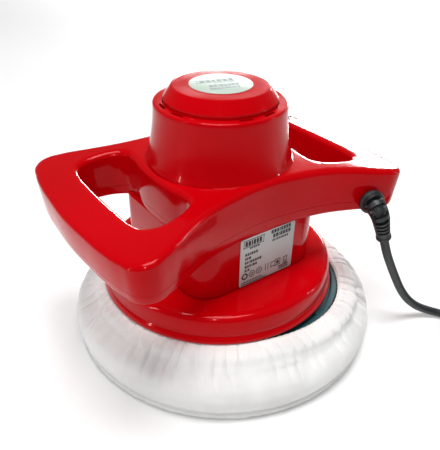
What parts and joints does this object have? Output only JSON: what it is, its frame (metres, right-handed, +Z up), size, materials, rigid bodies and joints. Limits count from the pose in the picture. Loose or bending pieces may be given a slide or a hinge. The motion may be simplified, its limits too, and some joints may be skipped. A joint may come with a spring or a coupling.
{
  "type": "orbital polisher",
  "caption": "Hand-held electric orbital polisher with two loop handles on a round motor tower, a flared skirt, a foam pad in a gathered cotton bonnet, and a mains cord.",
  "frame": {"origin": "on the motor axis, at the flat underside of the polishing face", "axes": "+Z up along the motor axis; the loop handles lie along X; the cord leaves on the -Y side; front (rating label) faces -Y"},
  "size_m": [0.387, 0.3379, 0.2028],
  "materials": {
    "red_shell": "high-gloss moulded plastic",
    "rating_label": "printed silver-grey film",
    "badge": "printed pale film",
    "black_plastic": "fine-textured moulded plastic",
    "cord_rubber": "satin flexible PVC",
    "slate_plastic": "moulded plastic, satin",
    "foam": "closed-cell foam",
    "cotton": "white cotton",
    "zinc_steel": "zinc plated",
    "steel": "ground steel",
    "cast_iron": "dark iron",
    "copper": "enamelled copper",
    "brass": "stamped brass",
    "board": "solder-masked board",
    "carbon": "pressed carbon"
  },
  "bodies": {
    "housing": {"upper_housing": "red_shell", "lower_housing": "red_shell", "skirt": "red_shell", "motor_bracket": "black_plastic", "strain_relief": "cord_rubber", "top_cap": "red_shell", "cord_coil": "cord_rubber", "power_cord": "cord_rubber", "motor_end_cap": "black_plastic", "motor_can": "zinc_steel", "brush_spring_left": "steel", "brush_spring_right": "steel", "mains_lead": "cord_rubber", "switch_lead": "cord_rubber", "top_badge": "badge", "lower_bearing": "steel", "upper_bearing": "steel", "magnet_front": "cast_iron", "magnet_rear": "cast_iron", "plug_body": "cord_rubber", "skirt_screw_1": "zinc_steel", "skirt_screw_2": "zinc_steel", "skirt_screw_3": "zinc_steel", "handle_screw_1": "zinc_steel", "handle_screw_2": "zinc_steel", "handle_screw_3": "zinc_steel", "handle_screw_4": "zinc_steel", "bracket_screw_1": "zinc_steel", "bracket_screw_2": "zinc_steel", "bracket_screw_3": "zinc_steel", "bracket_screw_4": "zinc_steel", "clamp_screw_1": "zinc_steel", "clamp_screw_2": "zinc_steel", "plug_pin_left": "brass", "plug_pin_right": "brass", "cord_tail": "cord_rubber", "cord_clamp": "black_plastic", "switch_body": "black_plastic", "rectifier_board": "board", "brush_holder_left": "brass", "brush_holder_right": "brass", "coil_tie": "black_plastic", "rating_plate": "rating_label", "brush_left": "carbon", "brush_right": "carbon"},
    "rotor": {"motor_shaft": "steel", "armature_core": "cast_iron", "windings": "copper", "commutator": "copper", "cooling_fan": "black_plastic", "counterweight": "cast_iron", "retaining_screw": "zinc_steel"},
    "pad": {"pad_bearing": "steel", "backing_plate": "slate_plastic", "foam_pad": "foam", "bonnet": "cotton", "bonnet_face": "cotton", "bonnet_elastic": "cotton"},
    "rocker": {"switch_rocker": "black_plastic"}
  },
  "joints": [
    {"name": "rotor_spin", "type": "hinge", "parent": "housing", "child": "rotor", "pos_m": [0, 0, 0.1], "axis": [0, 0, 1], "continuous": true},
    {"name": "pad_spin", "type": "hinge", "parent": "rotor", "child": "pad", "pos_m": [0.00405, -0.00295, 0.04], "axis": [0, 0, 1], "continuous": true},
    {"name": "switch_press", "type": "hinge", "parent": "housing", "child": "rocker", "pos_m": [0.105, 0.057, 0.14104], "axis": [0.9857, 0, -0.1685], "range_deg": [0, 14]}
  ]
}
